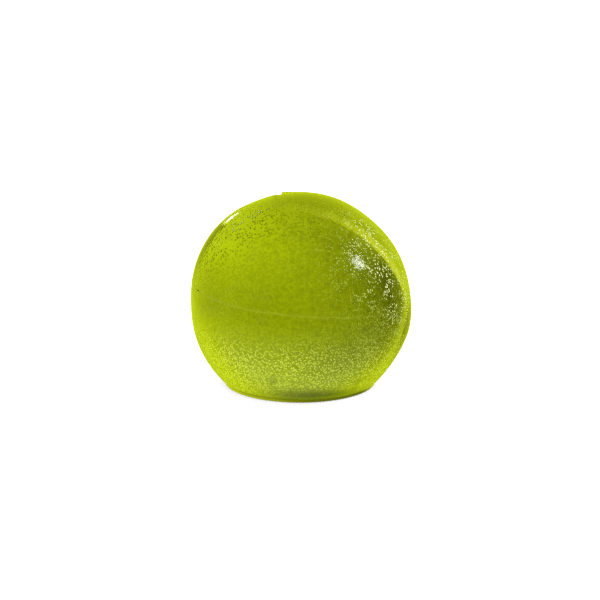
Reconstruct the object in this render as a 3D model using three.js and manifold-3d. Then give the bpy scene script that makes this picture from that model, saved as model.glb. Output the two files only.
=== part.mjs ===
// A soft, liquid-filled juggling ball at rest on a table, in millimetres, +Z up.
// The origin is the middle of the flat foot on which the ball has sagged.
//
// The skin is two bonded half shells with a lap joint between them, so the upper shell
// has a thin skirt that reaches down behind a thin lip of the lower one. The liquid went
// in through a small hole near the top, in a flat notch with a raised lip on its right,
// and a push-in plug closes it.

import * as THREE from 'three';
import { mergeVertices } from 'three/addons/utils/BufferGeometryUtils.js';
import Module from 'manifold-3d';

const wasm = await Module();
wasm.setup();

// Driving dimensions
const BALL_RADIUS = 35;
const CENTRE_HEIGHT = 26.3; // of the ball's centre above the table, once it has sagged
const WALL = 3;
const BOND_GAP = 0.3; // left between the faces that are bonded or that touch

const FOOT_RADIUS = 24; // of the band that the weight squeezes out round the foot
const FOOT_EDGE = 0.7; // by which the flat underside is smaller than the band
const FOOT_BAND_HEIGHT = 0.35;
const CREASE_RADIUS = 23.8; // where the ball's side folds in just above the band
const CREASE_HEIGHT = 0.8;
const SIDE_START = 1.3; // height at which the round side begins

const SEAM_TILT = THREE.MathUtils.degToRad(4.5); // the ball lies with its seam off level
const LAP_DEPTH = 4.4; // from the seam seen outside to the hidden edge of the skirt

const PLUG_AXIS = new THREE.Vector3(-0.21, 0.25, 0.945).normalize();
const NOTCH_LEVEL = 33.86; // of the notch's flat floor over the ball's centre
const NOTCH_END = 1.75; // right of the plug's axis, where the floor steps up to the lip
const LIP_RADIUS = 6.8; // from the plug's axis to where the lip leaves the ball's surface
const LIP_SHOULDER_RADIUS = 4.6;
const LIP_TOP_RADIUS = 2.8;
const LIP_RISE = 0.38;
const LIP_SHOULDER_RISE = 0.15;
const HEAD_RADIUS = 1.9;
const HEAD_THICKNESS = 0.9;
const HEAD_SUNK = 0.95; // from the ball's surface down to the top of the head
const STEM_RADIUS = 1.2;
const STEM_REACH = 1; // past the wall's inner face
const TIP_CHAMFER = 0.4;

const LEVEL_ABOVE_CENTRE = 30.2; // of the liquid, under a small air bubble

// How far the soft skin swells or sinks in a few places, each a round lobe.
// Clock is the lobe's angle from the top, clockwise as seen from the front.
const LOBES = [
  { clock: 312, rise: 0.7, spread: 18 },
  { clock: 103, rise: 0.7, spread: 10 },
  { clock: 40, rise: -0.4, spread: 11 },
  { clock: 268, rise: -0.4, spread: 10 },
];
const FRONT_TILT = THREE.MathUtils.degToRad(15); // lobes' circle and notch lean back by this

// Fineness of the faceted solids
const ROUND_SEGMENTS = 60;
const SIDE_RINGS = 20;
const PLUG_SEGMENTS = 24;
const BIG = 120; // size of a block that is larger than the ball

const centre = new THREE.Vector3(0, 0, CENTRE_HEIGHT);

function solidFrom(geometry, matrix = new THREE.Matrix4()) {
  const plain = geometry.clone().applyMatrix4(matrix);
  plain.deleteAttribute('normal');
  plain.deleteAttribute('uv');
  const merged = mergeVertices(plain, 1e-4);
  return new wasm.Manifold(new wasm.Mesh({
    numProp: 3,
    vertProperties: new Float32Array(merged.attributes.position.array),
    triVerts: new Uint32Array(merged.index.array),
  }));
}

function geometryFrom(solid) {
  const mesh = solid.getMesh();
  const geometry = new THREE.BufferGeometry();
  geometry.setAttribute('position', new THREE.BufferAttribute(mesh.vertProperties, 3));
  geometry.setIndex(new THREE.BufferAttribute(mesh.triVerts, 1));
  geometry.computeVertexNormals();
  return geometry;
}

// A lathe turns its profile about Y, and this stands that axis up along Z.
function lathe(points, segments) {
  return new THREE.LatheGeometry(points, segments).rotateX(Math.PI / 2);
}

// The direction of a lobe, on the circle that is the ball's outline from the front.
function lobeDirection(clock) {
  const angle = THREE.MathUtils.degToRad(clock);
  const up = new THREE.Vector3(0, Math.sin(FRONT_TILT), Math.cos(FRONT_TILT));
  return up.multiplyScalar(Math.cos(angle)).add(new THREE.Vector3(Math.sin(angle), 0, 0));
}

// Moves each point of the round side in or out, so that every layer of the skin
// follows the same soft shape. The foot stays flat.
function soften(geometry) {
  const lobes = LOBES.map(({ clock, rise, spread }) => ({
    direction: lobeDirection(clock),
    rise,
    spread: THREE.MathUtils.degToRad(spread),
  }));
  const position = geometry.attributes.position;
  const point = new THREE.Vector3();
  for (let i = 0; i < position.count; i += 1) {
    point.fromBufferAttribute(position, i).sub(centre);
    const direction = point.clone().normalize();
    const aboveFoot = point.z + CENTRE_HEIGHT - WALL;
    const fade = THREE.MathUtils.smoothstep(aboveFoot, 0, 2 * WALL);
    let shift = 0;
    for (const lobe of lobes) {
      const away = direction.angleTo(lobe.direction) / lobe.spread;
      shift += lobe.rise * Math.exp(-0.5 * away * away);
    }
    point.addScaledVector(direction, shift * fade).add(centre);
    position.setXYZ(i, point.x, point.y, point.z);
  }
  return geometry;
}

// The round side from the height where it starts up to the top, on a sphere that is
// this deep under the ball's surface.
function sideProfile(depth, startHeight) {
  const radius = BALL_RADIUS - depth;
  const startAngle = Math.asin((startHeight - CENTRE_HEIGHT) / radius);
  const points = [];
  for (let ring = 0; ring <= SIDE_RINGS; ring += 1) {
    const angle = THREE.MathUtils.lerp(startAngle, Math.PI / 2, ring / SIDE_RINGS);
    const across = ring === SIDE_RINGS ? 0 : radius * Math.cos(angle);
    points.push(new THREE.Vector2(across, CENTRE_HEIGHT + radius * Math.sin(angle)));
  }
  return points;
}

function ballSolid() {
  const profile = [
    new THREE.Vector2(0, 0),
    new THREE.Vector2(FOOT_RADIUS - FOOT_EDGE, 0),
    new THREE.Vector2(FOOT_RADIUS, FOOT_BAND_HEIGHT),
    new THREE.Vector2(CREASE_RADIUS, CREASE_HEIGHT),
    ...sideProfile(0, SIDE_START),
  ];
  return solidFrom(soften(lathe(profile, ROUND_SEGMENTS)));
}

// The ball's shape this deep under its surface, with its own flat bottom.
function layerSolid(depth) {
  const profile = [new THREE.Vector2(0, depth), ...sideProfile(depth, depth)];
  return solidFrom(soften(lathe(profile, ROUND_SEGMENTS)));
}

// All the space above a plane that is parallel to the seam and this far over the centre.
function spaceAbove(height) {
  const block = new THREE.BoxGeometry(BIG, BIG, BIG).translate(0, 0, BIG / 2 + height);
  block.rotateY(SEAM_TILT).translate(0, 0, CENTRE_HEIGHT);
  return solidFrom(block);
}

// Puts a shape that was turned about Z on the plug's axis, at distances from the centre.
function onPlugAxis(geometry) {
  const turn = new THREE.Quaternion().setFromUnitVectors(new THREE.Vector3(0, 0, 1), PLUG_AXIS);
  const place = new THREE.Matrix4().compose(centre, turn, new THREE.Vector3(1, 1, 1));
  return solidFrom(geometry, place);
}

function rod(radius, from, to) {
  const profile = [
    new THREE.Vector2(0, from),
    new THREE.Vector2(radius, from),
    new THREE.Vector2(radius, to),
    new THREE.Vector2(0, to),
  ];
  return onPlugAxis(lathe(profile, PLUG_SEGMENTS));
}

const headTop = BALL_RADIUS - HEAD_SUNK;
const headSeat = headTop - HEAD_THICKNESS;
const stemTip = BALL_RADIUS - WALL - STEM_REACH;

// A block whose right face is where the notch ends and whose underside is this far over
// the ball's centre. It leans back like the notch.
function leftBlock(height) {
  const right = BALL_RADIUS * PLUG_AXIS.x + NOTCH_END;
  const block = new THREE.BoxGeometry(BIG, BIG, BIG);
  block.translate(right - BIG / 2, 0, height + BIG / 2);
  block.rotateX(-FRONT_TILT).translate(0, 0, CENTRE_HEIGHT);
  return solidFrom(block);
}

// Distance along the plug's axis of a point that is this far from it and over the ball.
function overBall(distance, rise) {
  return Math.sqrt(BALL_RADIUS ** 2 - distance ** 2) + rise;
}

// A low ring round the hole, made solid down into the wall. Only its right part is kept.
function lipSolid() {
  const profile = [
    new THREE.Vector2(0, BALL_RADIUS - WALL / 2),
    new THREE.Vector2(LIP_RADIUS, BALL_RADIUS - WALL / 2),
    new THREE.Vector2(LIP_RADIUS, overBall(LIP_RADIUS, 0)),
    new THREE.Vector2(LIP_SHOULDER_RADIUS, overBall(LIP_SHOULDER_RADIUS, LIP_SHOULDER_RISE)),
    new THREE.Vector2(LIP_TOP_RADIUS, overBall(LIP_TOP_RADIUS, LIP_RISE)),
    new THREE.Vector2(0, BALL_RADIUS + LIP_RISE),
  ];
  return onPlugAxis(lathe(profile, PLUG_SEGMENTS)).subtract(leftBlock(0));
}

function fillHole() {
  const bore = rod(STEM_RADIUS + BOND_GAP, BALL_RADIUS - 2 * WALL, headSeat);
  const seat = rod(HEAD_RADIUS + BOND_GAP, headSeat - BOND_GAP, BALL_RADIUS + WALL);
  return bore.add(seat);
}

function plugSolid() {
  const profile = [
    new THREE.Vector2(0, stemTip),
    new THREE.Vector2(STEM_RADIUS - TIP_CHAMFER, stemTip),
    new THREE.Vector2(STEM_RADIUS, stemTip + TIP_CHAMFER),
    new THREE.Vector2(STEM_RADIUS, headSeat),
    new THREE.Vector2(HEAD_RADIUS, headSeat),
    new THREE.Vector2(HEAD_RADIUS, headTop),
    new THREE.Vector2(0, headTop),
  ];
  return onPlugAxis(lathe(profile, PLUG_SEGMENTS));
}

const ball = ballSolid();
const hollow = layerSolid(WALL);
const aboveSeam = spaceAbove(LAP_DEPTH + BOND_GAP / 2);
const aboveLip = spaceAbove(LAP_DEPTH - BOND_GAP / 2);
const aboveSkirtEdge = spaceAbove(BOND_GAP / 2);
const aboveLedge = spaceAbove(-BOND_GAP / 2);

function upperHalfShell() {
  const skirt = layerSolid(WALL / 2 + BOND_GAP / 2).intersect(aboveSkirtEdge);
  const cap = ball.add(lipSolid()).intersect(aboveSeam).subtract(leftBlock(NOTCH_LEVEL));
  return cap.add(skirt).subtract(hollow).subtract(fillHole());
}

function lowerHalfShell() {
  const wall = ball.subtract(hollow).subtract(aboveLedge);
  const lip = ball.subtract(layerSolid(WALL / 2 - BOND_GAP / 2)).subtract(aboveLip);
  return wall.add(lip);
}

function liquidFill() {
  const level = CENTRE_HEIGHT + LEVEL_ABOVE_CENTRE;
  const air = new THREE.BoxGeometry(BIG, BIG, BIG).translate(0, 0, level + BIG / 2);
  const roundStem = rod(STEM_RADIUS + BOND_GAP, stemTip - BOND_GAP, BALL_RADIUS);
  return layerSolid(WALL + BOND_GAP).subtract(solidFrom(air)).subtract(roundStem);
}

const shellSilicone = { color: 0xa3b60a, roughness: 0.25, metalness: 0 };
const plugSilicone = { color: 0xb4c81e, roughness: 0.3, metalness: 0 };
const clearLiquid = { color: 0x93a500, roughness: 0.1, metalness: 0 };

function part(name, solid, look) {
  const mesh = new THREE.Mesh(geometryFrom(solid), new THREE.MeshStandardMaterial(look));
  mesh.name = name;
  return mesh;
}

const group = new THREE.Group();
group.add(part('upper_half_shell', upperHalfShell(), shellSilicone));
group.add(part('lower_half_shell', lowerHalfShell(), shellSilicone));
group.add(part('fill_plug', plugSolid(), plugSilicone));
group.add(part('liquid_fill', liquidFill(), clearLiquid));

export default group;
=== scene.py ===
"""The looks of a soft, liquid-filled juggling ball, in metres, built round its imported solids."""

import math

import bpy
import numpy as np
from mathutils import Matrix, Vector


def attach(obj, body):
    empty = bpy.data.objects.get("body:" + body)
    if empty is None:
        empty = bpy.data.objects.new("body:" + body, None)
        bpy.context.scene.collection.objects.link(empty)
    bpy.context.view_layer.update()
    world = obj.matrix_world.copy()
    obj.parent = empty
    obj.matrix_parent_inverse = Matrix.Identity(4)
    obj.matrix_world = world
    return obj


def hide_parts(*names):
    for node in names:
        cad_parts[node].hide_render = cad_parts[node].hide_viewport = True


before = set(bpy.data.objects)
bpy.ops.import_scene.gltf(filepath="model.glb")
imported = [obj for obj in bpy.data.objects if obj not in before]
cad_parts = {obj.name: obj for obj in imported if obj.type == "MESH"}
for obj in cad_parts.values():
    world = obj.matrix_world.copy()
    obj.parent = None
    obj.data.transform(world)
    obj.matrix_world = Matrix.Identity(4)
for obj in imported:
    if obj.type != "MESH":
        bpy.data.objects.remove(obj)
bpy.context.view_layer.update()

MM = 0.001

# The ball, as in the part's source
BALL_RADIUS = 35 * MM
CENTRE_HEIGHT = 26.3 * MM
WALL = 3 * MM
BOND_GAP = 0.3 * MM
FOOT_RADIUS = 24 * MM
FOOT_EDGE = 0.7 * MM
FOOT_BAND_HEIGHT = 0.35 * MM
CREASE_RADIUS = 23.8 * MM
CREASE_HEIGHT = 0.8 * MM
SIDE_START = 1.3 * MM
SEAM_TILT = math.radians(4.5)
LAP_DEPTH = 4.4 * MM
PLUG_DIRECTION = (-0.21, 0.25, 0.945)
NOTCH_LEVEL = 33.86 * MM
NOTCH_END = 1.75 * MM
LIP_RADIUS = 6.8 * MM
LIP_SHOULDER_RADIUS = 4.6 * MM
LIP_TOP_RADIUS = 2.8 * MM
LIP_RISE = 0.38 * MM
LIP_SHOULDER_RISE = 0.15 * MM
HEAD_RADIUS = 1.9 * MM
HEAD_THICKNESS = 0.9 * MM
HEAD_SUNK = 0.95 * MM
STEM_RADIUS = 1.2 * MM
STEM_REACH = 1 * MM
LEVEL_ABOVE_CENTRE = 30.2 * MM
LOBES = (  # clock angle in degrees, rise in millimetres, spread in degrees
    (312, 0.7, 18),
    (103, 0.7, 10),
    (40, -0.4, 11),
    (268, -0.4, 10),
)
FRONT_TILT = math.radians(15)

# The fine shape that only the visible pieces have
AROUND = 256  # points round each piece
PLUG_AROUND = 96
UPPER_SIDE_RINGS = 170
UPPER_INSIDE_RINGS = 90
LOWER_SIDE_RINGS = 130
LOWER_INSIDE_RINGS = 70
LIQUID_SIDE_RINGS = 110
JOINT_RINGS = 8
FOOT_RINGS = 24
BAND_RINGS = 11  # from the flat's edge up to the crease
RISE_RINGS = 6  # from the crease up to the side
FLOOR_RINGS = 16
LEVEL_RINGS = 12
ROUNDING_RINGS = 6
SEAM_GAP = -0.02 * MM  # under zero, so the two visible skins overlap a little and no gap shows
LIQUID_GAP = 0.05 * MM  # keeps the liquid's faces off the skin's
SEAM_ROUNDING = 0.03 * MM
SEAM_WANDER = 0.12 * MM
SEAM_WAVES = (5, 9, 14, 23, 37, 61)  # how many of each wave go round the ball
SEAM_LINE_WIDTH = 0.3 * MM  # of the pale line along the seam
CREASE_LINE_WIDTH = 0.5 * MM
CREASE_DARKNESS = 1.2  # past 1, the darkest a mark can be, so that the crease's painted shade line is broad
BEAD_HEIGHT = 0.06 * MM
BEAD_WIDTH = 0.5 * MM
BEAD_LEVEL = 0.6  # how much of that height is always there, and how much comes and goes
BEAD_SWING = 0.5
BEAD_WAVES = (7, 13, 29, 43, 71, 97)
RIM_ROUNDING = 0.25 * MM
NOTCH_STEP = 0.5 * MM  # over which the notch's floor climbs to the lip
PLUG_CALM = (4.6 * MM, 13.8 * MM)  # the soft swells fade out between these, round the plug
WRINKLE_START = (-1.3 * MM, -3.5 * MM)  # right of and behind the fill hole's axis
WRINKLE_END = (0.6 * MM, -14.5 * MM)
WRINKLE_DEPTH = 0.14 * MM
WRINKLE_WIDTH = 0.55 * MM
PLUG_ROUNDING = 0.2 * MM
TIP_ROUNDING = 0.4 * MM
HEAD_DISH = ((0.6, 0.05), (0.3, 0.09), (0, 0.1))  # share of the head's radius, depth in millimetres
LIQUID_CLIMB = 0.5 * MM  # how far the liquid's level rises where it meets the skin
LIQUID_CURL = 0.8 * MM  # and over what distance
SKIN, BONDED, PRESSED = range(3)  # material slots of the half shells

# The skin's surface, in millimetres. Patches are azimuth, elevation, spread and strength.
DOME_REACH = 0.55  # the radius of a dome, as a share of its size
SEED_STRIDE = (1, 1.7, 2.3)  # how far each seed moves its domes, so that no two kinds line up
GRAIN_SIZE = 0.66
GRAIN_SEED = 0
GRAIN_TOPS = (0.3, 0.75)  # the heights up a grain between which it turns pale with a painted reflection of the table
GRAIN_VALLEYS = (0.4, 0.0)  # the heights between which the skin beside a grain takes a painted shade
GRAIN_BEND = 0.010  # heights that bend the light on its way through
PIT_BEND = 0.016
FINE_BEND = 0.004
GRAIN_SHINE = 0.04  # heights that scatter the shine off the outer face
PIT_SHINE = 0.15
FINE_SHINE = 0.01
PLUG_BEND = 0.02
STAIN_BEND = 0.02
SWIRL_BEND = 0.05
PIT_SIZE = 0.75
PIT_SEED = 31
PIT_SHARE = 0.5
PIT_FLOORS = (0.15, 0.45)  # the depths of a pit between which it turns dark with painted shade
SMOOTH_GRAIN = 0.05  # how much of the grain and the pits stays where the skin is smooth
SMOOTH_PITS = 0.2
FOOT_SHADE_AXIS = (0, 0.25, 0.968)
FOOT_SHADE_HEIGHTS = (0.0, -3.4)  # along that axis, from where the painted shade over the foot starts to where it is darkest
FOOT_SHADE_LEFT = (-24.0, 7.0)  # right of the middle, where the painted shade comes in and where it is full
FOOT_SHADE_RIGHT = (27.0, 23.0)
COARSE_BELOW = (27.0, 15.0)  # the moulded grain comes in below the first height, and is full at the second
COARSE_GRAIN = 0.8
PATCHY_GRAIN = 0.1
SMOOTH_BEHIND = (0.1, -0.2)  # how far behind the middle the grain starts and is full, as shares of the radius
GRAINY_SIDE = (122, -8, 0.35, 0.65)
PAINTED_SHEEN = 0.9  # how much of the grain's tops is pale, a painted reflection of the table
SHEEN_LOST_AT_FOOT = 0.5
SHEEN_VEIL = 0.25  # how much of the light a fully pale top's painted sheen and a painted glint stop
GLINT_VEIL = 0.7
SEAM_PALENESS = 0.24
PLUG_DUST = 0.3
SMUDGE_STRENGTH = 0.22
SMUDGE_ROUGHNESS = 0.06
PLUG_ROUGHNESS = 0.2  # where it is clean, and twice this where it is dusty
CLOUD = 0.08  # how far the skin's colour drifts either way
# Painted glints: pale specks round the right highlight, in a few patches
GLINTS = 0.95
GLINT_SHARE = 0.5
GLINT_SIZE = 0.6
GLINT_SEED = 57
PIT_PATCHES = (
    (-130, 55, 0.25, 1.0),
    (-112, 32, 0.22, 0.9),
    (170, 57, 0.2, 0.5),
    (30, 5, 0.4, 0.6),
    (113, 57, 0.2, 0.7),
)
THUMBED_PATCHES = (  # two dark smudges low in front
    (-163.4, -30.4, 0.033, 0.6),
    (143.2, -33.9, 0.035, 0.5),
)
# where the painted glints lie
GLINT_PATCHES = ((129, 30, 0.3, 1.0), (113, 8, 0.22, 0.8), (108, 52, 0.18, 0.6))

# Colours, linear
SKIN_COLOUR = (0.44, 0.55, 0.004)
# painted reflection of the table on the grain's tops; the seam's pale line shares it
SHEEN_AND_SEAM_COLOUR = (0.80, 0.88, 0.20)
# painted shade in the grain's valleys
VALLEY_SHADE_COLOUR = (0.24, 0.31, 0.002)
# painted glints round the right highlight
GLINT_COLOUR = (0.82, 0.88, 0.45)
# painted shade in the pits, the wrinkle and the crease, and the colour of two smudges
SHADE_AND_SMUDGE_COLOUR = (0.035, 0.05, 0.003)
SMUDGE_COLOUR = (0.3, 0.34, 0.08)
# painted shade over the foot's front and right, standing in for the contact shadow
FOOT_PAINTED_SHADE_COLOUR = (0.04, 0.065, 0.0015)
PRESSED_COLOUR = (0.62, 0.7, 0.015)
FOOT_PAINTED_DARKENING = 0.27  # what stays of the inner and pressed faces' colour under the painted shade at the foot
PLUG_COLOUR = (0.46, 0.58, 0.02)
LIQUID_ABSORPTION = (0.78, 0.8, 0.5)
LIQUID_DENSITY = 17.0  # per metre
SILICONE_IOR = 1.41
SHINE_ROUGHNESS = 0.08

# The studio, as radiances. Lobes and shades are azimuth, elevation, spread and strength.
WALL_LEVEL = 0.485
FLOOR_LEVEL = 0.48
FLOOR_LINE = (-0.195, -0.155)  # the heights between which the room turns from floor to wall
DARKEST = 0.05
EXPOSURE = 1 / 0.45
AMBIENT = 1.5
TABLE_HALF_WIDTH = 3.0
TABLE_WHITE = 0.92
TABLE_GLOW = 0.55
ROOM_LOBES = (
    (42, 16, 0.3, 0.28),
    (-55, 22, 0.2, 0.2),
    (75, 0, 0.3, 0.15),
    (-75, 0, 0.3, 0.08),
    (-47, 0, 0.15, -0.2),
    (-38, 11, 0.12, -0.08),
    (47, -10, 0.17, -0.09),
    (-15, 4, 0.13, -0.05),
    (-10, -33, 0.12, -0.04),
    (78, -42, 0.17, 0.12),
    (30, -34, 0.12, 0.06),
    (60, -50, 0.35, 0.19),
    (-65, -55, 0.35, 0.1),
    (0, -72, 0.3, -0.3),
    (0, -12, 0.3, -0.11),
    (10, -34, 0.25, 0.08),
    (40, -6, 0.25, -0.12),
    (16, -11, 0.15, -0.05),
    (5, 9, 0.12, 0.05),
    (-8, -44, 0.15, 0.04),
    (-24, 5, 0.15, -0.06),
    (-24, 21, 0.13, 0.06),
    (4, 29, 0.12, -0.08),
)
WALL_SHADES = (
    (-38, -16, 0.28, -0.26),
    (-49, -14, 0.13, -0.32),
    (-15, -45, 0.18, -0.09),
    (-42, -24, 0.12, -0.1),
    (-27, -27, 0.2, -0.07),
)
WINDOW_SHADES = ((-46, -33, 0.15, -0.12), (-30, -52, 0.2, -0.07))
WINDOW_NORMAL = (-0.36, -0.722, -0.59)  # points from the plane of the window's edge to its pane
WINDOW_EDGE = (0.003, 0.023)  # how far past the plane the pane starts and is full
WINDOW_FRAME = (0.07, 0.06, 0.26)  # how far past it the pale frame lies, its width and its strength
WINDOW_FRAME_PART = (-48, -32, 0.35, 1.0)  # the part of the frame that catches the light
WINDOW_FRAME_RED = 0.7  # how much redder and bluer than the rest the frame is
WINDOW_FRAME_BLUE = 20.0
ROOM_SCALE = 60.0  # of the fine mottling
ROOM_MOTTLING = (0.45, 0.55)
ROOM_CONTRAST = 0.15
TABLE_SHEEN = 1.2
TABLE_SHEEN_BLUE = 0.8
TABLE_REACH = (-0.1, -0.9)  # how far down the table comes into the shine and is full
TABLE_NEAR = (0.4, -0.25)  # and the same for how far behind the ball
BEHIND_GLOW = (0.62, 0.74, 0.015)
GLOW_BEHIND = (0.05, 0.5)  # how far behind the ball the glow starts to rise and is full
GLOW_ELSEWHERE = 0.4

# The camera
LENS = 150  # in millimetres, as is the sensor
SENSOR_WIDTH = 36
CAMERA_ELEVATION = 14.5  # degrees
BALL_SHARE = 0.3675  # of the picture's width
SHIFT_UP = 1 / 300

centre = np.array((0, 0, CENTRE_HEIGHT))
up_axis = np.array((0.0, 0.0, 1.0))


def unit(vector):
    vector = np.asarray(vector, float)
    return vector / np.linalg.norm(vector)


plug_axis = unit(PLUG_DIRECTION)
seam_axis = np.array((math.sin(SEAM_TILT), 0, math.cos(SEAM_TILT)))
lean_axis = np.array((0, math.sin(FRONT_TILT), math.cos(FRONT_TILT)))


def smoothstep(low, high, value):
    t = np.clip((value - low) / (high - low), 0, 1)
    return t * t * (3 - 2 * t)


def direction_at(azimuth, elevation):
    """A direction from its angles in degrees. Azimuth 0 is behind the ball and 90 is to its right."""
    azimuth, elevation = math.radians(azimuth), math.radians(elevation)
    across = math.cos(elevation)
    return np.array((math.sin(azimuth) * across, math.cos(azimuth) * across, math.sin(elevation)))


# --- Geometry -------------------------------------------------------------------------


def sides_of(axis):
    """Two unit vectors square to the axis and to each other."""
    helper = (0, 1, 0) if abs(axis[1]) < 0.9 else (1, 0, 0)
    first = unit(np.cross(axis, helper))
    return first, np.cross(axis, first)


def soften(points):
    """The soft skin's swells and hollows, the same for every layer of it. The foot stays flat."""
    away = points - centre
    direction = away / np.maximum(np.linalg.norm(away, axis=-1, keepdims=True), 1e-9)
    shift = np.zeros(points.shape[:-1])
    for clock, rise, spread in LOBES:
        angle = math.radians(clock)
        middle = math.cos(angle) * lean_axis + math.sin(angle) * np.array((1, 0, 0))
        turned = np.arccos(np.clip(direction @ middle, -1, 1)) / math.radians(spread)
        shift += rise * MM * np.exp(-0.5 * turned**2)
    shift *= smoothstep(WALL, 3 * WALL, points[..., 2])
    from_plug = np.linalg.norm(np.cross(away, plug_axis), axis=-1)
    shift *= np.where(away @ plug_axis > 0, smoothstep(*PLUG_CALM, from_plug), 1)
    return points + direction * shift[..., None]


def ripple(turn, waves, seed):
    """A smooth random wave round a circle, about -1 to 1."""
    usual_peak = 1.5  # of a sum of waves once its spread is 1
    random = np.random.default_rng(seed)
    value = np.zeros_like(turn)
    for wave in waves:
        value += random.normal() * np.cos(wave * turn + random.uniform(0, 2 * math.pi))
    return value / math.sqrt(len(waves) / 2) / usual_peak


def compass_of(points):
    """The angle of points round the vertical through the ball's centre."""
    return np.arctan2(points[..., 1], points[..., 0])


def seam_wander(compass):
    return SEAM_WANDER * ripple(compass, SEAM_WAVES, seed=3)


def turns_round(count):
    """The angles of this many points round a piece."""
    return np.linspace(0, 2 * math.pi, count, endpoint=False)


def turned_points(profile, turns, axis):
    """Points of a profile turned about the axis through the ball's centre.
    The profile gives (distance from the axis, height along it) at [turn, point]."""
    first, second = sides_of(axis)
    around = np.cos(turns)[:, None, None] * first + np.sin(turns)[:, None, None] * second
    return centre + profile[..., :1] * around + profile[..., 1:] * axis


def quads(index, onward):
    """Faces between neighbouring columns of point numbers."""
    corners = np.stack((index[:, :-1], index[:, 1:], onward[:, 1:], onward[:, :-1]), axis=-1)
    return corners.reshape(-1, 4).tolist()


def make_mesh(name, points, closed, slots=None, marks=None):
    """A piece from points [turn, point]. A closed profile makes a ring, and an open one starts and ends on
    the axis. slots gives the material slot of the faces that follow each point of the profile."""
    turns, count = points.shape[:2]
    slots = np.zeros(count, int) if slots is None else slots
    marks = np.zeros((turns, count)) if marks is None else marks
    if closed:
        vertices = points.reshape(-1, 3)
        vertex_marks = marks.reshape(-1)
        index = np.arange(turns * count).reshape(turns, count)
        index = np.concatenate((index, index[:, :1]), axis=1)
        faces = quads(index, np.roll(index, -1, axis=0))
        face_slots = np.tile(slots, turns)
    else:
        vertices = np.concatenate((points[:, 1:-1].reshape(-1, 3), points[:1, 0], points[:1, -1]))
        vertex_marks = np.concatenate((marks[:, 1:-1].reshape(-1), marks[0, [0, -1]]))
        index = np.arange(turns * (count - 2)).reshape(turns, count - 2)
        onward = np.roll(index, -1, axis=0)
        faces = quads(index, onward)
        start, end = len(vertices) - 2, len(vertices) - 1
        faces += [(start, a, b) for a, b in zip(index[:, 0], onward[:, 0])]
        faces += [(end, b, a) for a, b in zip(index[:, -1], onward[:, -1])]
        face_slots = np.concatenate((np.tile(slots[1:-2], turns), np.repeat(slots[[0, -2]], turns)))
    mesh = bpy.data.meshes.new(name)
    mesh.from_pydata(vertices.tolist(), [], faces)
    mesh.polygons.foreach_set("material_index", face_slots.astype(np.int32))
    mesh.attributes.new("mark", "FLOAT", "POINT").data.foreach_set("value", vertex_marks.astype(np.float32))
    mesh.update()
    if signed_volume(mesh) < 0:
        mesh.flip_normals()
    mesh.shade_smooth()
    piece = bpy.data.objects.new(name, mesh)
    bpy.context.scene.collection.objects.link(piece)
    return piece


def signed_volume(mesh):
    mesh.calc_loop_triangles()
    corners = np.empty(len(mesh.loop_triangles) * 3, np.int32)
    mesh.loop_triangles.foreach_get("vertices", corners)
    places = np.empty(len(mesh.vertices) * 3)
    mesh.vertices.foreach_get("co", places)
    a, b, c = places.reshape(-1, 3)[corners.reshape(-1, 3)].transpose(1, 0, 2)
    return float(np.einsum("ij,ij->", a, np.cross(b, c))) / 6


def seam_angle(turns, axis, height, radius):
    """The angle from the axis at which a sphere meets a plane parallel to the seam, at this height."""
    first, second = sides_of(axis)
    along = axis @ seam_axis
    across = np.cos(turns) * (first @ seam_axis) + np.sin(turns) * (second @ seam_axis)
    nearest = np.arctan2(across, along)
    away = np.arccos(height / radius / np.hypot(along, across))
    return np.mod(nearest + math.copysign(1, along) * away, 2 * math.pi)


def polar(angle, radius):
    """(distance from the axis, height) of points at an angle from the axis and a radius from the centre."""
    angle, radius = np.broadcast_arrays(angle, radius)
    return np.stack((radius * np.sin(angle), radius * np.cos(angle)), axis=-1)


def blend_angles(start, end, count, ends=(True, True)):
    """[turn, point] angles from start to end, each a number or one value for each turn."""
    steps = np.linspace(0, 1, count)
    steps = steps[0 if ends[0] else 1 : count if ends[1] else -1]
    start, end = np.broadcast_arrays(np.atleast_1d(start), np.atleast_1d(end))
    return start[:, None] * (1 - steps) + end[:, None] * steps


def fixed(points, turns):
    """The same profile points for every turn."""
    return np.broadcast_to(np.array(points, float), (len(turns), len(points), 2))


def seam_edge(angle, bead):
    """The rounded outer edge of a half shell at the seam, from its side round onto the joint's face."""
    bend = np.linspace(0, math.pi / 2, ROUNDING_RINGS)
    back = angle[:, None] - SEAM_ROUNDING / BALL_RADIUS * (1 - np.sin(bend))
    deep = BALL_RADIUS + bead[:, None] - SEAM_ROUNDING * (1 - np.cos(bend))
    return polar(back, deep)


def bead_rise(angle, seam, bead):
    """How far the side stands proud near the seam, at [turn, point]."""
    away = np.abs(angle - seam[:, None]) * BALL_RADIUS
    return bead[:, None] * np.exp(-((away / BEAD_WIDTH) ** 2))


def seam_line(turns, axis, side):
    """The angle of the seam seen outside, on one side of its gap, and the height of the bead along it."""
    outward = fixed([(1, 0)], turns)
    compass = compass_of(turned_points(outward, turns, axis)[:, 0] - centre)
    height = LAP_DEPTH + seam_wander(compass) + side * SEAM_GAP / 2
    bead = BEAD_HEIGHT * (BEAD_LEVEL + BEAD_SWING * ripple(compass, BEAD_WAVES, seed=8))
    return seam_angle(turns, axis, height, BALL_RADIUS), np.maximum(bead, 0)


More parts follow.
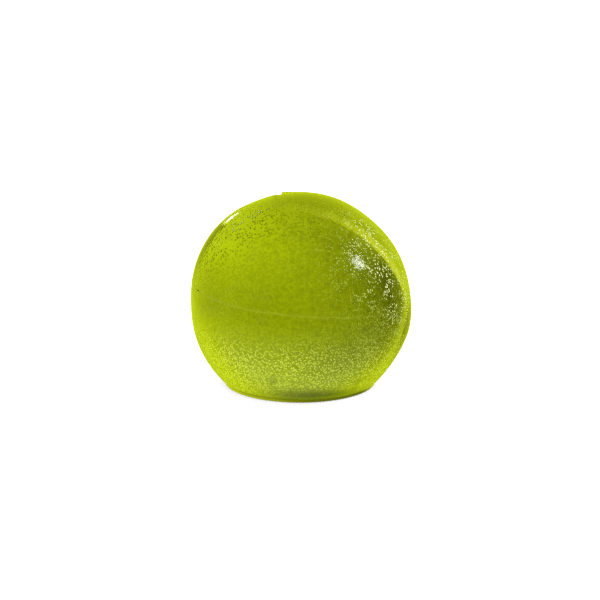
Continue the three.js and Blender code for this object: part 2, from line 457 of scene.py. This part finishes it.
def notch_and_lip(points):
    """Height over the ball round the fill hole: a flat notch that ends on the right in a step up to a lip."""
    away = points - centre
    radius = np.linalg.norm(away, axis=-1)
    floor_radius = radius * NOTCH_LEVEL / np.maximum(away @ lean_axis, MM)
    floor = np.minimum(floor_radius - radius, 0)
    from_plug = np.linalg.norm(np.cross(away, plug_axis), axis=-1)
    top = 1 - smoothstep(LIP_TOP_RADIUS, LIP_SHOULDER_RADIUS, from_plug)
    shoulder = 1 - smoothstep(LIP_SHOULDER_RADIUS, LIP_RADIUS, from_plug)
    lip = LIP_SHOULDER_RISE * shoulder + (LIP_RISE - LIP_SHOULDER_RISE) * top
    right = away[..., 0] - BALL_RADIUS * plug_axis[0]
    past_step = smoothstep(NOTCH_END - NOTCH_STEP, NOTCH_END, right)
    rise = floor * (1 - past_step) + lip * past_step
    return np.where(away @ plug_axis > 0, rise, 0)


def wrinkle_share(points):
    """1 in the middle of a short wrinkle that runs forward from the fill hole, falling to 0 round it."""
    right_axis = unit(np.cross((0, 1, 0), plug_axis))
    behind_axis = np.cross(plug_axis, right_axis)
    away = points - centre
    place = np.stack((away @ right_axis, away @ behind_axis), -1) - np.array(WRINKLE_START)
    span = np.array(WRINKLE_END) - np.array(WRINKLE_START)
    along = unit(span)
    share = np.clip(place @ along / np.linalg.norm(span), 0, 1)
    off = place @ np.array((-along[1], along[0]))
    return np.sin(math.pi * share) * np.exp(-((off / WRINKLE_WIDTH) ** 2)) * (away @ plug_axis > 0)


def marks_at(points):
    """1 on the pale line of the seam, -1 or past it in the painted shade of the wrinkle and the foot's
    crease, and 0 elsewhere.
    """
    away = points - centre
    off_seam = away @ seam_axis - LAP_DEPTH - seam_wander(compass_of(away))
    outside = np.linalg.norm(away, axis=-1) > BALL_RADIUS - WALL / 4
    line = np.exp(-((off_seam / SEAM_LINE_WIDTH) ** 2)) * outside
    off_crease = (points[..., 2] - CREASE_HEIGHT - CREASE_LINE_WIDTH) / CREASE_LINE_WIDTH
    at_foot = np.hypot(points[..., 0], points[..., 1]) > FOOT_RADIUS - FOOT_EDGE
    crease = np.exp(-(off_crease**2)) * at_foot
    return line - wrinkle_share(points) * outside - CREASE_DARKNESS * crease


def rim_profile(turns, lip):
    """The rounded rim of the hole, from the seat's wall out onto the ball."""
    bend = np.linspace(math.pi, math.pi / 2, ROUNDING_RINGS)
    top = math.sqrt(BALL_RADIUS**2 - lip**2)
    rim = np.stack((lip + RIM_ROUNDING * np.cos(bend), top + RIM_ROUNDING * (np.sin(bend) - 1)), -1)
    rim = fixed(rim, turns).copy()
    rim[:, :, 1] += notch_and_lip(turned_points(rim, turns, plug_axis))
    return rim


def build_upper_half_shell():
    """A ring that runs from the hole out over the ball to the seam, down the skirt and back up inside."""
    turns = turns_round(AROUND)
    seam, bead = seam_line(turns, plug_axis, 1)
    skirt_radius = BALL_RADIUS - WALL / 2 - SEAM_GAP / 2
    inner_radius = BALL_RADIUS - WALL
    step = seam_angle(turns, plug_axis, LAP_DEPTH, skirt_radius)
    skirt_end = seam_angle(turns, plug_axis, SEAM_GAP / 2, skirt_radius)
    inner_end = seam_angle(turns, plug_axis, SEAM_GAP / 2, inner_radius)

    bore = STEM_RADIUS + BOND_GAP
    seat = HEAD_RADIUS + BOND_GAP
    seat_height = BALL_RADIUS - HEAD_SUNK - HEAD_THICKNESS - BOND_GAP
    bore_angle = math.asin(bore / inner_radius)
    hole = [(bore, inner_radius * math.cos(bore_angle)), (bore, seat_height), (seat, seat_height)]
    lip = seat + RIM_ROUNDING

    side = blend_angles(math.asin(lip / BALL_RADIUS), seam - SEAM_ROUNDING / BALL_RADIUS, UPPER_SIDE_RINGS)
    ball_points = turned_points(polar(side, BALL_RADIUS), turns, plug_axis)
    rise = notch_and_lip(ball_points) - WRINKLE_DEPTH * wrinkle_share(ball_points)
    side_points = polar(side, BALL_RADIUS + rise + bead_rise(side, seam, bead))
    seen = (fixed(hole, turns), rim_profile(turns, lip), side_points[:, 1:-1], seam_edge(seam, bead))
    joint_start = sum(points.shape[1] for points in seen) - 1
    profile = np.concatenate(
        (
            *seen,
            polar(step[:, None], skirt_radius),
            polar(blend_angles(step, skirt_end, JOINT_RINGS, (False, True)), skirt_radius),
            polar(blend_angles(inner_end, bore_angle, UPPER_INSIDE_RINGS, (True, False)), inner_radius),
        ),
        axis=1,
    )
    points = turned_points(profile, turns, plug_axis)
    slots = np.where(np.arange(points.shape[1]) < joint_start, SKIN, BONDED)
    return make_mesh("upper_skin", soften(points), True, slots, marks_at(points))


def hermite(start, end, leave, arrive, count):
    """Points on a smooth curve between two points, with its direction given at each."""
    t = np.linspace(0, 1, count)[:, None]
    start, end, leave, arrive = map(np.array, (start, end, leave, arrive))
    return (
        (2 * t**3 - 3 * t**2 + 1) * start
        + (t**3 - 2 * t**2 + t) * leave
        + (3 * t**2 - 2 * t**3) * end
        + (t**3 - t**2) * arrive
    )


def foot_outline():
    """The flat foot, the band squeezed out round it and the crease, as (distance, height over the table)."""
    side_angle = math.asin((SIDE_START - CENTRE_HEIGHT) / BALL_RADIUS)
    side = (BALL_RADIUS * math.cos(side_angle), SIDE_START)
    up_the_side = (-math.sin(side_angle) * MM, math.cos(side_angle) * MM)
    flat_end = (FOOT_RADIUS - FOOT_EDGE, 0)
    band = (FOOT_RADIUS, FOOT_BAND_HEIGHT)
    crease = (CREASE_RADIUS, CREASE_HEIGHT)
    into_crease = (0.1 * MM, 0.3 * MM)
    flat = [(flat_end[0] * step / FOOT_RINGS, 0) for step in range(FOOT_RINGS + 1)]
    edge_rings = BAND_RINGS // 2
    edge = hermite(flat_end, band, (FOOT_EDGE, 0), (0, FOOT_BAND_HEIGHT), edge_rings + 1)
    fold = hermite(band, crease, (0, FOOT_BAND_HEIGHT), into_crease, BAND_RINGS - edge_rings + 1)
    rise = hermite(crease, side, into_crease, up_the_side, RISE_RINGS)
    return [*flat, *edge[1:], *fold[1:], *rise[1:]]


def build_lower_half_shell():
    """The foot and the side up to the seam, then the lip's inner face, the ledge and the inside."""
    turns = turns_round(AROUND)
    seam, bead = seam_line(turns, -up_axis, -1)
    ledge_radius = BALL_RADIUS - WALL / 2 + SEAM_GAP / 2
    inner_radius = BALL_RADIUS - WALL
    lip_top = seam_angle(turns, -up_axis, LAP_DEPTH, ledge_radius)
    lip_foot = seam_angle(turns, -up_axis, -SEAM_GAP / 2, ledge_radius)
    ledge = seam_angle(turns, -up_axis, -SEAM_GAP / 2, inner_radius)

    foot = np.array(foot_outline())
    foot[:, 1] = CENTRE_HEIGHT - foot[:, 1]
    foot_end = math.atan2(foot[-1, 0], foot[-1, 1])
    side = blend_angles(foot_end, seam - SEAM_ROUNDING / BALL_RADIUS, LOWER_SIDE_RINGS)
    side_points = polar(side, BALL_RADIUS + bead_rise(side, seam, bead))
    floor_height = CENTRE_HEIGHT - WALL
    floor_angle = math.acos(floor_height / inner_radius)
    floor_radius = inner_radius * math.sin(floor_angle)
    inward = 1 - np.arange(1, FLOOR_RINGS + 1) / FLOOR_RINGS
    inner_floor = [(floor_radius * share, floor_height) for share in inward]
    seen = (fixed(foot, turns), side_points[:, 1:-1], seam_edge(seam, bead))
    joint_start = sum(points.shape[1] for points in seen) - 1
    profile = np.concatenate(
        (
            *seen,
            polar(lip_top[:, None], ledge_radius),
            polar(blend_angles(lip_top, lip_foot, JOINT_RINGS, (False, True)), ledge_radius),
            polar(blend_angles(ledge, floor_angle, LOWER_INSIDE_RINGS), inner_radius),
            fixed(inner_floor, turns),
        ),
        axis=1,
    )
    points = turned_points(profile, turns, -up_axis)
    slots = np.where(np.arange(points.shape[1]) < joint_start, SKIN, BONDED)
    slots[: FOOT_RINGS + BAND_RINGS] = PRESSED
    return make_mesh("lower_skin", soften(points), False, slots, marks_at(points))


def build_fill_plug():
    """The plug's stem, with a rounded tip, and its head, with rounded edges and a shallow dish."""
    turns = turns_round(PLUG_AROUND)
    top = BALL_RADIUS - HEAD_SUNK
    under = top - HEAD_THICKNESS
    tip = BALL_RADIUS - WALL - STEM_REACH
    bend = np.linspace(0, math.pi / 2, ROUNDING_RINGS)
    quarter = list(zip(np.sin(bend), 1 - np.cos(bend)))
    small, large = PLUG_ROUNDING, TIP_ROUNDING
    profile = [(0, tip)]
    profile += [(STEM_RADIUS - large + large * a, tip + large * b) for a, b in quarter]
    profile += [(STEM_RADIUS, under - small), (STEM_RADIUS + small / 2, under)]
    profile += [(HEAD_RADIUS - small + small * a, under + small * b) for a, b in quarter]
    profile += [(HEAD_RADIUS - small * b, top - small + small * a) for a, b in quarter]
    profile += [(HEAD_RADIUS * share, top - depth * MM) for share, depth in HEAD_DISH]
    return make_mesh("plug", turned_points(fixed(profile, turns), turns, plug_axis), closed=False)


def build_liquid():
    """The liquid, almost up to the skin, with its level curving up where it meets the skin. Unlike the packed
    liquid, it isn't cut away round the plug's stem, so the tip dips into it."""
    turns = turns_round(AROUND)
    radius = BALL_RADIUS - WALL - LIQUID_GAP
    floor_height = WALL + LIQUID_GAP - CENTRE_HEIGHT
    floor_angle = math.acos(floor_height / radius)
    level_angle = math.acos(LEVEL_ABOVE_CENTRE / radius)
    floor_radius = radius * math.sin(floor_angle)
    level_radius = radius * math.sin(level_angle)
    floor = [(floor_radius * step / FLOOR_RINGS, floor_height) for step in range(FLOOR_RINGS + 1)]
    side = polar(np.linspace(floor_angle, level_angle, LIQUID_SIDE_RINGS), radius)
    level = []
    for step in range(1, LEVEL_RINGS + 1):
        inward = level_radius * step / LEVEL_RINGS
        dip = LIQUID_CLIMB * (1 - math.exp(-inward / LIQUID_CURL))
        level.append((level_radius - inward, LEVEL_ABOVE_CENTRE - dip))
    profile = np.array([*floor, *side[1:], *level])
    return make_mesh("liquid", soften(turned_points(fixed(profile, turns), turns, up_axis)), closed=False)


# --- Materials ------------------------------------------------------------------------


class Nodes:
    """Short ways to make and join nodes."""

    def __init__(self, tree):
        self.tree = tree
        tree.nodes.clear()

    def add(self, kind, settings=None, **inputs):
        node = self.tree.nodes.new("ShaderNode" + kind)
        for name, value in (settings or {}).items():
            setattr(node, name, value)
        for name, value in inputs.items():
            self.put(node, name.replace("_", " "), value)
        return node

    def put(self, node, name, value):
        socket = node.inputs[name] if not name.isdigit() else node.inputs[int(name)]
        if isinstance(value, bpy.types.NodeSocket):
            self.tree.links.new(value, socket)
        else:
            socket.default_value = value

    def maths(self, operation, *values, clamp=False):
        node = self.tree.nodes.new("ShaderNodeMath")
        node.operation = operation
        node.use_clamp = clamp
        for place, value in enumerate(values):
            self.put(node, str(place), value)
        return node.outputs[0]

    def vector(self, operation, *values):
        node = self.add("VectorMath", {"operation": operation})
        for place, value in enumerate(values):
            self.put(node, str(place), value if isinstance(value, bpy.types.NodeSocket) else tuple(value))
        return node.outputs["Value" if operation == "DOT_PRODUCT" else "Vector"]

    def step(self, value, low, high):
        """0 at low, 1 at high and smooth in between."""
        node = self.add("MapRange", {"interpolation_type": "SMOOTHSTEP"}, Value=value)
        self.put(node, "From Min", low)
        self.put(node, "From Max", high)
        return node.outputs[0]

    def noise(self, place, scale, detail=0.0, roughness=0.5):
        node = self.add("TexNoise", Vector=place, Scale=scale, Detail=detail, Roughness=roughness)
        return node.outputs["Fac"]

    def lobe(self, direction, azimuth, elevation, spread, strength):
        """A soft round lobe of this strength about a direction."""
        along = self.vector("DOT_PRODUCT", direction, direction_at(azimuth, elevation))
        off = self.maths("MULTIPLY", self.maths("SUBTRACT", along, 1), 1 / spread**2)
        return self.maths("MULTIPLY", self.maths("EXPONENT", off), strength)

    def lobes(self, direction, rows):
        total = 0.0
        for row in rows:
            total = self.maths("ADD", total, self.lobe(direction, *row))
        return total

    def mix(self, factor, first, second, kind="RGBA", blend="MIX"):
        node = self.tree.nodes.new("ShaderNodeMix")
        node.data_type = kind
        if kind == "RGBA":
            node.blend_type = blend
        first_place, second_place, out = {"RGBA": (6, 7, 2), "FLOAT": (2, 3, 0)}[kind]
        self.put(node, "0", factor)
        self.put(node, str(first_place), first)
        self.put(node, str(second_place), second)
        return node.outputs[out]


def shade(colour, factor=1.0):
    return (*(part * factor for part in colour), 1)


def new_material(name):
    material = bpy.data.materials.new(name)
    material.use_nodes = True
    return material, Nodes(material.node_tree)


def millimetres(n):
    """The place on the piece in millimetres."""
    return n.vector("MULTIPLY", n.add("TexCoord").outputs["Object"], (1 / MM,) * 3)


def domes(n, place, size, seed):
    """Small round domes of about this size in millimetres, as heights from 0 to 1, and a colour for each."""
    moved = n.vector("ADD", place, [seed * part for part in SEED_STRIDE])
    cells = n.add("TexVoronoi", {"feature": "F1"}, Vector=moved, Scale=1 / size)
    reach = n.maths("DIVIDE", cells.outputs["Distance"], DOME_REACH)
    return n.maths("SUBTRACT", 1, n.maths("POWER", reach, 2), clamp=True), cells.outputs["Color"]


def scattered_domes(n, place, size, seed, share):
    """Domes of which only this share, picked at random, is there."""
    heights, colour = domes(n, place, size, seed)
    chance = n.add("SeparateColor", Color=colour).outputs[0]
    return n.maths("MULTIPLY", heights, n.maths("GREATER_THAN", chance, 1 - share))


def bump(n, heights, weights):
    """The direction of a surface with these heights, each weighted in millimetres."""
    total = 0.0
    for height, weight in zip(heights, weights):
        total = n.maths("MULTIPLY_ADD", height, weight, total)
    return n.add("Bump", Height=total, Strength=1.0, Distance=MM).outputs[0]


def patches(n, direction, rows):
    """How far the place is inside some soft patches, up to 1."""
    return n.maths("MINIMUM", n.lobes(direction, rows), 1.0)


def coarseness(n, place, direction):
    """How strongly the moulded grain shows, and with it the painted sheen on its tops and the painted shade
    in its valleys. It is coarse low down and on the right, faint and patchy above, and gone from the back."""
    patchy = n.step(n.noise(place, scale=0.07, detail=2.0), low=0.4, high=0.6)
    low = n.step(n.add("SeparateXYZ", Vector=place).outputs["Z"], *COARSE_BELOW)
    low = n.maths("MAXIMUM", low, n.lobe(direction, *GRAINY_SIDE))
    coarse = n.maths("MULTIPLY_ADD", patchy, PATCHY_GRAIN, n.maths("MULTIPLY", low, COARSE_GRAIN))
    in_front = n.step(n.vector("DOT_PRODUCT", direction, (0, 1, 0)), *SMOOTH_BEHIND)
    return n.maths("MULTIPLY", coarse, in_front)


def dust_on_skin(n, place, direction):
    """Pale specks in a few patches round the right highlight: painted glints, standing in for its light
    broken up by the grain.
    """
    drift = n.step(n.noise(place, scale=0.28, detail=2.0), low=0.35, high=0.6)
    amount = n.maths("MULTIPLY", n.maths("MULTIPLY", patches(n, direction, GLINT_PATCHES), GLINTS), drift)
    specks = scattered_domes(n, place, GLINT_SIZE, GLINT_SEED, GLINT_SHARE)
    return n.maths("MULTIPLY", n.step(specks, low=0.2, high=0.55), amount)


def foot_share(n, place):
    """How near the place is to the foot in front and on the right, where a painted shade stands in for the
    ball's contact shadow.
    """
    across = n.add("SeparateXYZ", Vector=place).outputs["X"]
    low = n.step(n.vector("DOT_PRODUCT", place, FOOT_SHADE_AXIS), *FOOT_SHADE_HEIGHTS)
    middle = n.maths("MULTIPLY", n.step(across, *FOOT_SHADE_LEFT), n.step(across, *FOOT_SHADE_RIGHT))
    return n.maths("MULTIPLY", low, middle)


def skin_colour(n, place, smudge, layers):
    """The silicone's own green under layers that each cover it with a colour by some share, some of them
    painted sheen, glints and shade.
    """
    cloud = n.noise(place, scale=0.05, detail=1.0)
    colour = n.mix(cloud, shade(SKIN_COLOUR, 1 + CLOUD), shade(SKIN_COLOUR, 1 - CLOUD))
    colour = n.mix(n.maths("MULTIPLY", smudge, SMUDGE_STRENGTH), colour, shade(SMUDGE_COLOUR))
    for share, layer_colour in layers:
        colour = n.mix(share, colour, shade(layer_colour))
    return colour


def shell_silicone():
    """Clear green silicone with a moulded grain, pits and smudges, under a painted sheen on the grain's tops,
    painted glints, and painted shade in its valleys, the pits and over the foot. The marks that the mesh
    carries give the seam's pale line and painted shade in the wrinkle and the crease."""
    material, n = new_material("shell_silicone")
    place = millimetres(n)
    direction = n.vector("NORMALIZE", n.vector("SUBTRACT", place, centre / MM))
    mark = n.add("Attribute", {"attribute_name": "mark"}).outputs["Fac"]
    coarse = coarseness(n, place, direction)
    pitted = patches(n, direction, PIT_PATCHES)
    grain, _ = domes(n, place, GRAIN_SIZE, GRAIN_SEED)
    pits = scattered_domes(n, place, PIT_SIZE, PIT_SEED, PIT_SHARE)
    # painted glints round the right highlight
    dust_and_glints = dust_on_skin(n, place, direction)
    smudge = n.step(n.noise(place, scale=0.16, detail=4.0, roughness=0.65), low=0.56, high=0.70)
    # painted shade over the foot, standing in for the ball's contact shadow
    at_foot = foot_share(n, place)

    shown = n.maths("MULTIPLY_ADD", at_foot, -SHEEN_LOST_AT_FOOT, PAINTED_SHEEN)
    # painted sheen: pale grain tops that stand in for the table's reflection
    sheen_and_seam_line = n.maths("MULTIPLY", n.step(grain, *GRAIN_TOPS), n.maths("MULTIPLY", coarse, shown))
    sheen_and_seam_line = n.maths("MAXIMUM", sheen_and_seam_line, n.maths("MULTIPLY", mark, SEAM_PALENESS))
    # painted shade in the grain's valleys
    valley_shade = n.maths("MULTIPLY", n.step(grain, *GRAIN_VALLEYS), coarse)
    # painted shade in the pits' floors, the wrinkle and the foot's crease
    specks = n.maths("MULTIPLY", n.step(pits, *PIT_FLOORS), pitted)
    specks = n.maths("MAXIMUM", specks, n.maths("MULTIPLY", mark, -1, clamp=True))
    layers = (
        (valley_shade, VALLEY_SHADE_COLOUR),
        (sheen_and_seam_line, SHEEN_AND_SEAM_COLOUR),
        (specks, SHADE_AND_SMUDGE_COLOUR),
        (dust_and_glints, GLINT_COLOUR),
        (n.lobes(direction, THUMBED_PATCHES), SHADE_AND_SMUDGE_COLOUR),
        # painted shade over the foot
        (at_foot, FOOT_PAINTED_SHADE_COLOUR),
    )
    grain_here = n.maths("MULTIPLY", grain, n.maths("MULTIPLY_ADD", coarse, 1 - SMOOTH_GRAIN, SMOOTH_GRAIN))
    pits_here = n.maths("MULTIPLY", pits, n.maths("MULTIPLY_ADD", pitted, 1 - SMOOTH_PITS, SMOOTH_PITS))
    heights = (grain_here, pits_here, n.noise(place, scale=1.1, detail=3.0))
    # the painted sheen and the painted glints let less light through
    veil = n.maths("MULTIPLY_ADD", sheen_and_seam_line, SHEEN_VEIL, n.maths("MULTIPLY", dust_and_glints, GLINT_VEIL))

    shader = n.add("BsdfPrincipled", Base_Color=skin_colour(n, place, smudge, layers), IOR=SILICONE_IOR)
    n.put(shader, "Roughness", n.maths("MULTIPLY", smudge, SMUDGE_ROUGHNESS))
    n.put(shader, "Transmission Weight", n.maths("SUBTRACT", 1.0, veil, clamp=True))
    n.put(shader, "Specular Tint", (0, 0, 0, 1))
    n.put(shader, "Coat Weight", 1.0)
    n.put(shader, "Coat Roughness", SHINE_ROUGHNESS)
    n.put(shader, "Coat IOR", SILICONE_IOR)
    n.put(shader, "Normal", bump(n, heights, (GRAIN_BEND, PIT_BEND, FINE_BEND)))
    n.put(shader, "Coat Normal", bump(n, heights, (GRAIN_SHINE, PIT_SHINE, FINE_SHINE)))
    n.add("OutputMaterial", Surface=shader.outputs[0])
    return material


def plug_silicone():
    """The plug's own silicone: satin, a little greyer, with dust in its turned surface."""
    material, n = new_material("plug_silicone")
    place = millimetres(n)
    fine = n.noise(place, scale=6.0, detail=4.0)
    dust_and_glints = n.step(n.noise(place, scale=1.4, detail=3.0), low=0.5, high=0.75)
    colour = n.mix(fine, shade(PLUG_COLOUR, 0.85), shade(PLUG_COLOUR, 1.1))
    colour = n.mix(n.maths("MULTIPLY", dust_and_glints, PLUG_DUST), colour, shade(SMUDGE_COLOUR))
    shader = n.add("BsdfPrincipled", Base_Color=colour, IOR=SILICONE_IOR)
    n.put(shader, "Roughness", n.maths("MULTIPLY_ADD", dust_and_glints, PLUG_ROUGHNESS, PLUG_ROUGHNESS))
    n.put(shader, "Transmission Weight", 1.0)
    n.put(shader, "Normal", bump(n, (fine,), (PLUG_BEND,)))
    n.add("OutputMaterial", Surface=shader.outputs[0])
    return material


def joined_faces(name, colour):
    """Faces with silicone or liquid on both sides, or pressed on the table, where light does not bend, with
    painted shade at the foot.
    """
    material, n = new_material(name)
    place = millimetres(n)
    stain = n.noise(place, scale=0.4, detail=3.0)
    tint = n.mix(stain, shade(colour, 0.94), shade(colour))
    # painted shade over the foot
    tint = n.mix(foot_share(n, place), tint, shade(colour, FOOT_PAINTED_DARKENING))
    shader = n.add("BsdfPrincipled", Base_Color=tint, Roughness=0.0, IOR=1.0)
    n.put(shader, "Transmission Weight", 1.0)
    n.put(shader, "Specular IOR Level", 0.0)
    n.put(shader, "Normal", bump(n, (stain,), (STAIN_BEND,)))
    n.add("OutputMaterial", Surface=shader.outputs[0])
    return material


def clear_liquid():
    """The real liquid touches the skin, so light does not bend at its faces. Its depth adds green."""
    material, n = new_material("clear_liquid")
    place = millimetres(n)
    swirl = n.noise(place, scale=0.09, detail=2.0)
    tint = n.mix(swirl, (0.97, 0.97, 0.97, 1), (1, 1, 1, 1))
    shader = n.add("BsdfPrincipled", Base_Color=tint, IOR=1.0)
    n.put(shader, "Roughness", n.maths("MULTIPLY", swirl, 0.01))
    n.put(shader, "Transmission Weight", 1.0)
    n.put(shader, "Specular IOR Level", 0.0)
    n.put(shader, "Normal", bump(n, (swirl,), (SWIRL_BEND,)))
    absorb = n.add("VolumeAbsorption", Color=shade(LIQUID_ABSORPTION), Density=LIQUID_DENSITY)
    n.add("OutputMaterial", Surface=shader.outputs[0], Volume=absorb.outputs[0])
    return material


# --- The studio -----------------------------------------------------------------------


def aim(thing, direction):
    thing.rotation_mode = "QUATERNION"
    thing.rotation_quaternion = Vector(direction).to_track_quat("-Z", "Y")


def softbox(name, azimuth, elevation, distance, size, power):
    data = bpy.data.lights.new(name, "AREA")
    data.shape = "SQUARE"
    data.size = size
    data.energy = power
    light = bpy.data.objects.new(name, data)
    bpy.context.scene.collection.objects.link(light)
    away = direction_at(azimuth, elevation)
    light.location = centre + away * distance
    aim(light, -away)
    light.visible_transmission = False
    return light


def build_floor():
    """A plain white table that glows a little, so that the ball's shadow stays faint. What the ball refracts
    and reflects comes from the world instead."""
    mesh = bpy.data.meshes.new("table_top")
    half = TABLE_HALF_WIDTH
    corners = [(-half, -half, 0), (half, -half, 0), (half, half, 0), (-half, half, 0)]
    mesh.from_pydata(corners, [], [(0, 1, 2, 3)])
    table = bpy.data.objects.new("table_top", mesh)
    bpy.context.scene.collection.objects.link(table)
    material, n = new_material("white_paper")
    shader = n.add("BsdfPrincipled", Base_Color=shade((TABLE_WHITE,) * 3), Roughness=0.8)
    n.put(shader, "Specular IOR Level", 0.0)
    n.put(shader, "Emission Color", (1, 1, 1, 1))
    n.put(shader, "Emission Strength", TABLE_GLOW)
    n.add("OutputMaterial", Surface=shader.outputs[0])
    mesh.materials.append(material)
    table.visible_transmission = False
    table.visible_glossy = False


def window_frame(n, direction, across):
    """The pale frame a little inside the edge of the window's pane, where it catches the light."""
    middle, width, strength = WINDOW_FRAME
    off = n.maths("DIVIDE", n.maths("SUBTRACT", across, middle), width)
    light = n.maths("EXPONENT", n.maths("MULTIPLY", n.maths("MULTIPLY", off, off), -1))
    light = n.maths("MULTIPLY", light, n.maths("MULTIPLY", n.step(across, *WINDOW_EDGE), strength))
    return n.maths("MULTIPLY", light, n.lobe(direction, *WINDOW_FRAME_PART))


def room_seen_through(n, direction, height, structure):
    """What is seen through the ball: soft light and dark parts of a room, and a window's bright pane."""
    level = n.mix(n.step(height, *FLOOR_LINE), FLOOR_LEVEL, WALL_LEVEL, kind="FLOAT")
    level = n.maths("ADD", level, n.lobes(direction, ROOM_LOBES))
    across = n.vector("DOT_PRODUCT", direction, unit(WINDOW_NORMAL))
    window = n.step(across, *WINDOW_EDGE)
    wall = n.maths("SUBTRACT", 1, window)
    level = n.maths("MULTIPLY_ADD", n.lobes(direction, WALL_SHADES), wall, level)
    level = n.maths("MULTIPLY_ADD", n.lobes(direction, WINDOW_SHADES), window, level)
    frame_light = window_frame(n, direction, across)
    level = n.maths("ADD", level, frame_light)
    swing = n.maths("MULTIPLY_ADD", n.maths("SUBTRACT", structure, 0.5), ROOM_CONTRAST, 1.0)
    level = n.maths("MULTIPLY", n.maths("MULTIPLY", level, swing), EXPOSURE)
    level = n.maths("MAXIMUM", level, DARKEST * EXPOSURE)
    red = n.maths("MULTIPLY", level, n.maths("MULTIPLY_ADD", frame_light, WINDOW_FRAME_RED, 1.0))
    blue = n.maths("MULTIPLY", level, n.maths("MULTIPLY_ADD", frame_light, WINDOW_FRAME_BLUE, 1.0))
    return n.add("CombineColor", Red=red, Green=level, Blue=blue).outputs[0]


def room_in_the_shine(n, direction, height, structure):
    """What the ball's shine shows: the table below, and a green glow that is strongest behind the ball."""
    behind = n.vector("DOT_PRODUCT", direction, (0, 1, 0))
    table = n.maths("MULTIPLY", n.step(behind, *TABLE_NEAR), n.step(height, *TABLE_REACH))
    table = n.maths("MULTIPLY", n.maths("MULTIPLY", table, structure), TABLE_SHEEN)
    blue = n.maths("MULTIPLY", table, TABLE_SHEEN_BLUE)
    table = n.add("CombineColor", Red=table, Green=table, Blue=blue).outputs[0]
    glow = n.mix(n.step(behind, *GLOW_BEHIND), shade(BEHIND_GLOW, GLOW_ELSEWHERE), shade(BEHIND_GLOW))
    return n.mix(1.0, table, glow, blend="ADD")


def build_world():
    """One studio, with its own brightness for light seen through the ball, for its shine and for the rest."""
    world = bpy.data.worlds.new("studio")
    bpy.context.scene.world = world
    world.use_nodes = True
    world.cycles.sampling_method = "NONE"
    n = Nodes(world.node_tree)
    path = n.add("LightPath").outputs
    direction = n.vector("NORMALIZE", n.add("TexCoord").outputs["Generated"])
    height = n.vector("DOT_PRODUCT", direction, (0, 0, 1))
    structure = n.step(n.noise(direction, ROOM_SCALE, detail=1.0), *ROOM_MOTTLING)
    shine = room_in_the_shine(n, direction, height, structure)
    colour = n.mix(path["Is Glossy Ray"], shade((AMBIENT,) * 3), shine)
    colour = n.mix(path["Is Transmission Ray"], colour, room_seen_through(n, direction, height, structure))
    colour = n.mix(path["Is Camera Ray"], colour, (1, 1, 1, 1))
    shown = n.add("Background", Color=colour, Strength=1.0)
    n.add("OutputWorld", Surface=shown.outputs[0])


def build_camera():
    data = bpy.data.cameras.new("camera")
    data.lens = LENS
    data.sensor_width = SENSOR_WIDTH
    data.shift_y = SHIFT_UP
    camera = bpy.data.objects.new("camera", data)
    bpy.context.scene.collection.objects.link(camera)
    back = direction_at(180, CAMERA_ELEVATION)
    distance = 2 * BALL_RADIUS / BALL_SHARE * LENS / SENSOR_WIDTH
    camera.location = centre + back * distance
    aim(camera, -back)
    bpy.context.scene.camera = camera


def set_up_rendering(scene):
    """The ball is many clear layers deep, so light is followed far and is not cut off at random."""
    scene.view_settings.view_transform = "Standard"
    scene.cycles.max_bounces = 24
    scene.cycles.transmission_bounces = 24
    scene.cycles.min_light_bounces = 12
    scene.cycles.glossy_bounces = 6
    scene.cycles.caustics_refractive = False
    scene.cycles.caustics_reflective = False
    scene.cycles.use_denoising = False


shell = shell_silicone()
bonded = joined_faces("bonded_faces", (1, 1, 1))
pressed = joined_faces("pressed_foot", PRESSED_COLOUR)
for piece, body, node, slot, materials in (
    (build_upper_half_shell(), "ball", "upper_half_shell", "shell_silicone", (shell, bonded)),
    (build_lower_half_shell(), "ball", "lower_half_shell", "shell_silicone", (shell, bonded, pressed)),
    (build_fill_plug(), "plug", "fill_plug", "plug_silicone", (plug_silicone(),)),
    (build_liquid(), "ball", "liquid_fill", "clear_liquid", (clear_liquid(),)),
):
    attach(piece, body)
    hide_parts(node)
    for material in materials:
        piece.data.materials.append(material)

build_floor()
build_world()
build_camera()
softbox("right_softbox", azimuth=98, elevation=36, distance=0.5, size=0.09, power=0.3)
softbox("left_softbox", azimuth=-22, elevation=14, distance=0.6, size=0.05, power=0.03)
set_up_rendering(bpy.context.scene)
